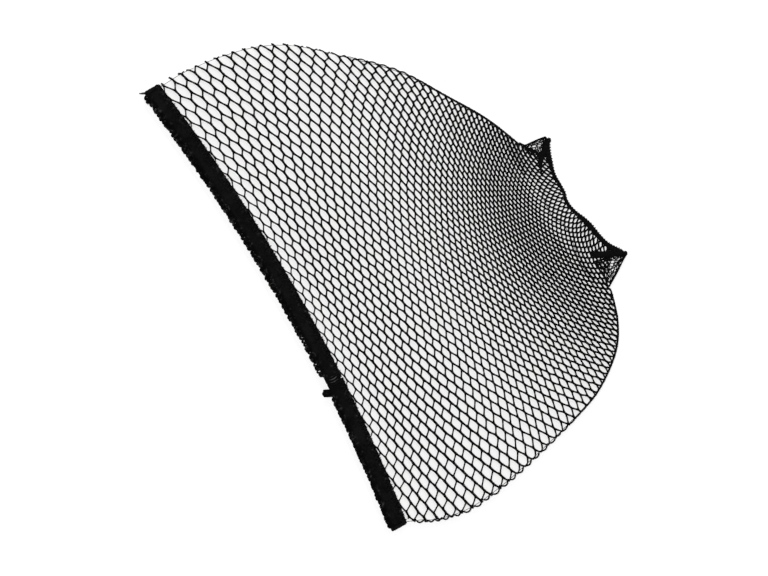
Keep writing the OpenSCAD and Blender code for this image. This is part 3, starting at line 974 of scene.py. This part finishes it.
def make_picots():
    """Small loops of yarn along the mouth's edge, on the front and on the back."""
    threads = Threads(6)
    turns = np.linspace(0, math.pi, 9)
    count = int((right_a - left_a) * mouth_r / PICOT_PITCH)
    for side in (1, -1):
        for i in range(count):
            a = left_a + (i + RANDOM.uniform(0.25, 0.75)) * (right_a - left_a) / count
            past = (a - join_a) * mouth_r - HEM_MIDDLE
            if abs(past) < HEM / 2:
                continue
            wide = RANDOM.uniform(*PICOT_WIDE)
            tall = (PICOT_TALL_BEFORE if past < 0 else PICOT_TALL_AFTER) * RANDOM.uniform(0.8, 1.2)
            lean = RANDOM.uniform(*PICOT_LEAN)
            fullness = PICOT_OPEN if OPEN_FROM < past < 0 else PICOT_FULL
            swell = PICOT_R * (fullness + RANDOM.uniform(0, 0.5))
            x = -wide * np.cos(turns) + lean * np.sin(turns)
            r = mouth_r + SOLID_FROM + PICOT_OUT - tall * np.sin(turns) ** 0.8
            z = mid_z + side * (fold_r + 0.12 * np.cos(turns))
            threads.add(at_height(arc(r, a + x / mouth_r), z), swell)
    return threads


STITCH_PITCH = 1.7
STITCH_R = 0.2
# The thread's loose end at the left corner, and the small knot beside it.
TAIL = ((-106.4, -69.2), (-107.1, -70.6), (-107.5, -71.6), (-107.9, -72.2))
TAIL_R = (0.45, 0.4, 0.3, 0.2)
TAIL_UP = 0.5
KNOT_X, KNOT_Y = -106.9, -64.4
KNOT_R, KNOT_H, KNOT_THREAD_R = 0.45, 0.4, 0.3


def make_corner_knot(threads):
    threads.add(at_height(TAIL, mid_z + TAIL_UP), TAIL_R)
    turn = np.linspace(0, 2 * TURN, 26)
    ring = np.column_stack([KNOT_X + KNOT_R * np.cos(turn), KNOT_Y + KNOT_R * np.sin(turn)])
    threads.add(at_height(ring, mid_z + KNOT_H * np.sin(turn / 2)), KNOT_THREAD_R)


def make_seam_stitches():
    """Thread that zigzags over the band's seam edge and ties each yarn of the net to it."""
    threads = Threads()
    count = int((right_a - left_a) * mouth_r / STITCH_PITCH)
    for side in (1, -1):
        face = mid_z + side * (fold_r + BAND_T / 2)
        points = []
        for i in range(count):
            a = left_a + (i + 0.5) * (right_a - left_a) / count
            j = RANDOM.uniform(-0.5, 0.5, 4)
            for ahead, off, z in (
                (-0.25 + 0.2 * j[3], -2.3 + 0.9 * j[0], face + side * 0.08),
                (-0.05, -1.0 + 0.4 * j[3], face + side * 0.1),
                (0.05, 0.25 + 0.55 * j[1], mid_z + side * (fold_r + 0.25)),
                (0.3, -0.8 + 0.4 * j[0], face + side * 0.12),
                (0.5 + 0.2 * j[1], -2.0 + 0.9 * j[2], face + side * 0.06),
            ):
                points.append((*arc(seam_r + off, a + ahead * STITCH_PITCH / mouth_r), z))
        threads.add(points, STITCH_R)
    make_corner_knot(threads)
    return threads


# ---- crown and ears


UNEVEN_R = (0.85, 1.15)  # range of a strand's radius


def bundle(threads, path, strands, thread_r, seed):
    """Yarn gathered along a path of (x, y, z, half width): strands that wander inside the half width."""
    rng = np.random.default_rng(seed)
    p = smooth(path, 5)
    centre = p[:, :3]
    way = unit(np.gradient(centre, axis=0))
    side = unit(np.cross(way, (0, 0, 1.0)))
    up = np.cross(side, way)
    length = length_along(centre)
    for i in range(strands):
        phase = TURN * (i + rng.uniform(0, 0.3)) / strands
        room = np.maximum(p[:, 3] - thread_r, 0.02) * rng.uniform(0.55, 1)
        wave = phase + 0.35 * length + 0.6 * np.sin(length * rng.uniform(0.5, 1) + rng.uniform(0, 6))
        points = centre + side * (room * np.cos(wave))[:, None] + up * (0.8 * room * np.sin(wave))[:, None]
        threads.add(points, thread_r * rng.uniform(*UNEVEN_R))


def core(threads, path, fill, seed):
    """The dense middle of a gathered edge: one uneven tube."""
    p = smooth(path, 6)
    r = p[:, 3] * fill * np.random.default_rng(seed).uniform(0.93, 1.07, len(p))
    threads.add(p[:, :3], np.maximum(r, 0.15), sides=12, flat=0.9)


seam_path = [(x, y, SEAM_Z, half) for x, y, half in SEAM]
SEAM_CORE = (0.85, 3)  # fill and seed
SEAM_STRANDS = (9, 0.34, 11)  # number, radius and seed
OVERLOCK_PITCH = 1.25
OVERLOCK_FROM_END = 1.5
OVERLOCK_FLAT = 0.92
OVERLOCK_R = 0.17
OVERLOCK_STEPS = 9  # in a turn


def make_seam():
    threads = Threads(6)
    core(threads, seam_path, *SEAM_CORE)
    bundle(threads, seam_path, *SEAM_STRANDS)
    return threads


def make_overlock():
    """Overlock thread wound round the crown seam."""
    threads = Threads()
    path = smooth(seam_path, 14)
    length = length_along(path[:, :3])
    s = np.arange(OVERLOCK_FROM_END, length[-1] - OVERLOCK_FROM_END, OVERLOCK_PITCH / OVERLOCK_STEPS)
    at = sample(path, length, s)
    side = np.cross(unit(np.gradient(at[:, :3], axis=0)), (0, 0, 1.0))
    turn = TURN * s / OVERLOCK_PITCH + 0.12 * np.sin(s * 3.7) + 0.1 * np.sin(s * 9.1)
    r = at[:, 3] + 0.02
    points = at[:, :3] + side * (r * np.cos(turn))[:, None]
    points[:, 2] += r * OVERLOCK_FLAT * np.sin(turn)
    threads.add(points, OVERLOCK_R)
    return threads


# Gathered folds of net below the ears: (x, y, z, half width).
RIGHT_WEDGE = (
    (41.6, 57.2, 3.3, 0.35), (42.8, 58.6, 3.2, 1.3), (44.0, 60.4, 3.1, 1.75), (45.0, 62.6, 2.9, 1.75),
    (46.0, 65.0, 2.6, 1.55), (47.2, 67.5, 2.3, 1.4), (48.2, 69.3, 2.0, 1.0), (48.7, 70.2, 1.8, 0.6),
)
LEFT_SMEAR = (
    (-7.6, 64.6, 1.8, 1.2), (-5.2, 62.6, 2.2, 1.5), (-3.2, 60.2, 2.8, 1.4), (-1.6, 58.2, 3.2, 1.1),
    (0.6, 57.0, 3.3, 0.7), (2.6, 56.4, 3.3, 0.35),
)
LEFT_STRIP = (
    (-12.6, 54.4, 2.1, 0.5), (-10.0, 55.6, 2.2, 0.75), (-7.2, 57.6, 2.6, 0.75), (-4.4, 59.6, 2.9, 0.7),
    (-2.6, 60.4, 3.0, 0.5),
)
# The yarn along each ear's free edge.
LEFT_RIM = ((-12.4, 54.6, 1.7), (-10.6, 56.0, 1.7), (-10.2, 59.0, 1.8), (-9.9, 62.0, 1.7), (-9.4, 65.0, 1.7))
RIGHT_RIM = (
    (49.4, 69.7, 1.7), (50.6, 68.0, 1.7), (52.1, 65.8, 1.8), (53.7, 63.5, 1.7), (55.5, 60.6, 1.7),
    (57.4, 57.4, 1.7),
)

# The corners of each ear's slack net: at the notch, at the outer tip, at the inner tip and at the seam.
LEFT_EAR = ((-10.8, 54.2), (-9.5, 65.2), (-7.4, 65.4), (-2.0, 58.6))
RIGHT_EAR = ((57.4, 57.3), (49.7, 69.8), (48.2, 69.0), (45.4, 57.6))
EAR_BOW = 0.3  # how far an ear's free edge curves in
EAR_LAYERS = (1.2, 2.5)  # their heights
EAR_CELLS = 4  # across
EAR_SHORTEST = 0.25  # a link shorter than this is left out
EAR_WANDER_U, EAR_WANDER_V = 0.22, 0.2  # unevenness of its knots, in cells
EAR_WANDER, EAR_WANDER_Z = 0.1, 0.15  # of a link's middle, and of its heights


def ear_net(threads, corners, along, seed, radius):
    """Two slack layers of the net between four corners, each with its own uneven phase."""
    rng = np.random.default_rng(seed)
    a, b, c, d = np.array(corners)

    def place(u, v):
        """u from the notch's side to the seam's side, v from the base to the tip."""
        bow = EAR_BOW * 4 * v * (1 - v) * (1 - u) * (d - a) / np.linalg.norm(d - a)
        return (1 - v) * ((1 - u) * a + u * d) + v * ((1 - u) * b + u * c) + bow

    for layer, z in enumerate(EAR_LAYERS):
        shift = 0.5 * layer
        knots = {}
        for i in range(-1, EAR_CELLS + 2):
            for j in range(-1, along + 2):
                u = (i + shift + (0.5 if j % 2 else 0) + rng.normal(0, EAR_WANDER_U)) / EAR_CELLS
                v = (j + 0.4 * shift + rng.normal(0, EAR_WANDER_V)) / along
                knots[i, j] = (np.clip(u, 0, 1), np.clip(v, 0, 1))
        for (i, j), (u, v) in knots.items():
            for step in (0, 1 if j % 2 else -1):
                other = knots.get((i + step, j + 1))
                if other is None:
                    continue
                p, q = place(u, v), place(*other)
                if np.linalg.norm(p - q) < EAR_SHORTEST:
                    continue
                middle = (p + q) / 2 + rng.normal(0, EAR_WANDER, 2)
                height = z + rng.normal(0, EAR_WANDER_Z, 3)
                threads.add(at_height((p, middle, q), height), radius * rng.uniform(*UNEVEN_R))


# Of each ear: its slack net, its gathered folds as (path, strands, thread radius, seed), the dense middle of
# the first fold as (fill, seed), and the yarn along its edge.
LEFT_FOLDS = ((LEFT_SMEAR, 12, 0.36, 21), (LEFT_STRIP, 6, 0.33, 22))
EARS = {
    "left": ((LEFT_EAR, 6, 5, 0.2), LEFT_FOLDS, (0.75, 4), LEFT_RIM, 0.4),
    "right": ((RIGHT_EAR, 7, 6, 0.19), ((RIGHT_WEDGE, 14, 0.38, 23),), (0.8, 5), RIGHT_RIM, 0.33),
}


def make_ear(side):
    net, folds, middle, rim, rim_r = EARS[side]
    threads = Threads(6)
    ear_net(threads, *net)
    for fold in folds:
        bundle(threads, *fold)
    core(threads, folds[0][0], *middle)
    threads.add(smooth(rim, 5), rim_r)
    return threads


LEFT_TACK, RIGHT_TACK = (-7.6, 65.6), (48.7, 70.0)
TACK_R, TACK_H = 0.3, 0.55
TACK_LOOPS = ((2, 3, 0.62), (3, 4, 0.5))  # turns round, turns in and out, and radius


def make_tack(x, y):
    """A small knot of thread at an ear's tip."""
    threads = Threads(6)
    t = np.linspace(0, TURN, 60)
    for p, q, big in TACK_LOOPS:
        r = big * (1 + 0.35 * np.cos(q * t))
        ring = np.column_stack([x + r * np.cos(p * t), y + r * np.sin(p * t)])
        threads.add(at_height(ring, SEAM_Z + TACK_H * np.sin(q * t)), TACK_R)
    return threads


# ---- the band's join

LAP_L, LAP_W = 8.0, 6.0
LAP_GRID = (44, 26)  # points along and across
LAP_BEFORE = 0.42  # share of the lap that lies before the join
LAP_IN = 1.2  # from the mouth's edge
LAP_BOW = 0.9
LAP_PAD, LAP_FOLDS, LAP_SUNK = 0.28, 0.62, 0.05  # heights: of the pad, of its wrinkles, and set into the band
LAP_T = 0.1  # below its edge
WRINKLE = 1.15  # distance between wrinkles
WRINKLE_AT, WRINKLE_SPREAD = (0.36, 0.52), (0.24, 0.34)  # shares along and across


def make_lap():
    """The end of the elastic lapped on the run below it: a low pad with drawn-up wrinkles across it."""
    i, j = np.meshgrid(*(np.linspace(0, 1, n) for n in LAP_GRID), indexing="ij")
    bow = LAP_BOW * (1 - (2 * j - 1) ** 2)
    angle = join_a + ((i - LAP_BEFORE) * LAP_L - 0.35 * bow) / mouth_r
    foot = arc(mouth_r + LAP_IN + j * LAP_W, angle).reshape(-1, 2)
    ridge = 0.5 + 0.5 * np.cos(TURN * (i * LAP_L - 1.6 * bow) / WRINKLE)
    off_i, off_j = (i - WRINKLE_AT[0]) / WRINKLE_SPREAD[0], (j - WRINKLE_AT[1]) / WRINKLE_SPREAD[1]
    folds = np.exp(-(off_i**2) - off_j**4) * ridge**1.4
    edge = np.minimum(5 * np.minimum(i, 1 - i), 6 * np.minimum(j, 1 - j) + 0.15)
    edge = np.minimum(edge, 1.0)
    base_z = face_z - LAP_SUNK
    top = at_height(foot, (base_z + edge * (LAP_PAD + LAP_FOLDS * folds)).reshape(-1))
    verts = np.vstack([top, at_height(foot, base_z - LAP_T)])
    crests = np.concatenate([(edge * folds).reshape(-1), np.zeros(len(top))])
    grid = np.arange(len(top)).reshape(i.shape)
    corners = [grid[:-1, :-1], grid[1:, :-1], grid[1:, 1:], grid[:-1, 1:]]
    quads = np.stack(corners, -1).reshape(-1, 4)
    ring = np.concatenate([grid[0], grid[1:, -1], grid[-1, -2::-1], grid[-2:0:-1, 0]])
    after = np.roll(ring, -1)
    rim = np.column_stack([ring, after, len(top) + after, len(top) + ring])
    faces = np.vstack([quads[:, ::-1], quads + len(top), rim]).tolist()
    uvs = np.column_stack([verts[:, 0], crests])
    return make_mesh("band_lap", verts, faces, uvs[np.concatenate(faces)])


TAB_ROOT, TAB_TIP = np.array([39.6, -63.2]), np.array([37.5, -67.5])
TAB_SIDE = np.array([0.88, -0.47])
TAB_ROOT_HALF, TAB_TIP_HALF = 1.35, 1.1
TAB_LAYERS = (-0.35, 0.0, 0.35)
TAB_ENDS_BACK = np.array([0.2, 0.5])  # how far its outer ends are cut back
TAB_R = 0.3
TAB_STRANDS = 8  # in a layer
TAB_WANDER_TIP, TAB_WANDER_MIDDLE = 0.12, 0.05
TAB_SLIMS = np.array([1, 0.9, 0.7])  # how the layers draw together towards the tip


def make_tab():
    """The band's cut end, which sticks out past the mouth's edge, with a frayed tip."""
    threads = Threads(6)
    z = mid_z + fold_r
    rng = np.random.default_rng(8)
    for k in np.linspace(-1, 1, TAB_STRANDS):
        for layer in TAB_LAYERS:
            a = TAB_ROOT + TAB_SIDE * k * TAB_ROOT_HALF
            b = TAB_TIP + TAB_SIDE * k * TAB_TIP_HALF + TAB_ENDS_BACK * k**2
            b += rng.normal(0, TAB_WANDER_TIP, 2)
            middle = (a + b) / 2 + rng.normal(0, TAB_WANDER_MIDDLE, 2)
            heights = z + layer * TAB_SLIMS
            threads.add(smooth(at_height((a, middle, b), heights), 3), TAB_R)
    return threads


BARTACK_STITCHES = 16
BARTACK_AT, BARTACK_HALF = 1.5, 0.7  # past the join, and half its width
BARTACK_IN, BARTACK_L = 1.8, 4.8
BARTACK_UP = 0.42
BARTACK_R = 0.17


def make_bartack():
    """Zigzag stitches that hold the lap."""
    threads = Threads()
    i = np.arange(BARTACK_STITCHES + 1)
    angle = join_a + (BARTACK_AT + np.where(i % 2, BARTACK_HALF, -BARTACK_HALF)) / mouth_r
    r = mouth_r + BARTACK_IN + i * BARTACK_L / BARTACK_STITCHES
    threads.add(at_height(arc(r, angle), face_z + BARTACK_UP), BARTACK_R)
    return threads


# ---- the card

CARD_ROLL = 0.4  # the pressed edge's rounding
CARD_RINGS = 9
CARD_REACH = 0.8  # how far the card's sides reach into the folds
CARD_EASE = 36  # how fast that reach sets in from a corner
CARD_SIDE = 40  # its sides climb at least this far, and its top and bottom don't


def make_card():
    """The card: its cut edge is pressed round, and at its sides it fills the net's folds."""
    o = outline_of("display_card")
    d = np.roll(o, -1, axis=0) - o
    way = np.arctan2(d[:, 1], d[:, 0])
    bend = np.abs(np.angle(np.exp(1j * (way - np.roll(way, 1)))))
    corners = np.sort(np.argsort(-bend)[:4])
    outline, push = [], []
    for a, b in zip(corners, np.append(corners[1:], corners[0] + len(o))):
        run = smooth(o[np.arange(a, b + 1) % len(o)], 6)[:-1]
        share = np.linspace(0, 1, len(run))
        is_side = abs(run[-1][1] - run[0][1]) > CARD_SIDE
        outline.append(run)
        push.append(is_side * np.clip(np.minimum(share, 1 - share) * CARD_EASE, 0, 1))
    outline, push = np.concatenate(outline), np.concatenate(push)
    way = np.roll(outline, -1, axis=0) - np.roll(outline, 1, axis=0)
    normal = unit(np.column_stack([way[:, 1], -way[:, 0]]))
    half = (card_box[1][2] - card_box[0][2]) / 2
    verts = []
    for q in np.linspace(0, math.pi, CARD_RINGS):
        inset = CARD_ROLL * (1 - math.sin(q))
        ring = outline + normal * (push * CARD_REACH - inset)[:, None]
        verts.append(at_height(ring, mid_z + half * math.cos(q)))
    rings, n = len(verts), len(outline)
    faces = [list(range(n)), list(range(rings * n - 1, (rings - 1) * n - 1, -1))]
    faces += tube_faces(rings, n)[:, [1, 0, 3, 2]].tolist()
    mesh = make_mesh("card_board", np.concatenate(verts), faces)
    for polygon in mesh.polygons:
        polygon.use_smooth = len(polygon.vertices) == 4
    return mesh


# ---- put together

BAND_NODES = (
    "band_front_long", "band_front_short", "band_back", "band_corner_left", "band_strands_long",
    "band_strands_short", "band_strands_back",
)
WALL_NODES = ("net_front_wall", "net_fold_left", "net_fold_right")
STITCH_NODES = ("band_seam_thread_front", "band_seam_thread_back")


def add_piece(name, shape, material, replaces=()):
    mesh = shape.mesh(name) if isinstance(shape, Threads) else shape
    mesh.materials.append(material)
    obj = add_object(name, mesh)
    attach(obj, "card" if name == "card_board" else "cap")
    if replaces:
        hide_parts(*replaces)
    return obj


def main():
    make_camera()
    make_lights()
    make_room()
    make_floor()

    yarn, sewing, knit, lap = yarn_material(), thread_material(), band_material(), lap_material()
    net = make_net()
    back_mesh = net.mesh("net_back", mirror_z=mid_z)

    add_piece("card_board", make_card(), card_material(), ("display_card",))
    front = add_piece("net_front", net, yarn, WALL_NODES)
    back = add_piece("net_back", back_mesh, yarn, ("net_back_wall",))

    add_piece("elastic_band", make_band(), knit, BAND_NODES)
    add_piece("band_picots", make_picots(), knit)
    add_piece("band_seam_stitches", make_seam_stitches(), sewing, STITCH_NODES)
    add_piece("band_lap", make_lap(), lap, ("band_join_lap",))
    add_piece("band_tab", make_tab(), knit, ("band_join_tail",))
    add_piece("band_bartack", make_bartack(), sewing, ("band_join_thread",))

    add_piece("crown_seam", make_seam(), yarn, ("crown_seam_roll",))
    add_piece("crown_overlock", make_overlock(), sewing, ("crown_seam_thread",))
    add_piece("ear_left", make_ear("left"), yarn, ("crown_ear_left",))
    add_piece("ear_right", make_ear("right"), yarn, ("crown_ear_right",))
    add_piece("tack_left", make_tack(*LEFT_TACK), sewing, ("ear_tack_left",))
    add_piece("tack_right", make_tack(*RIGHT_TACK), sewing, ("ear_tack_right",))

    scene = bpy.context.scene
    scene.view_settings.view_transform = "Standard"


main()
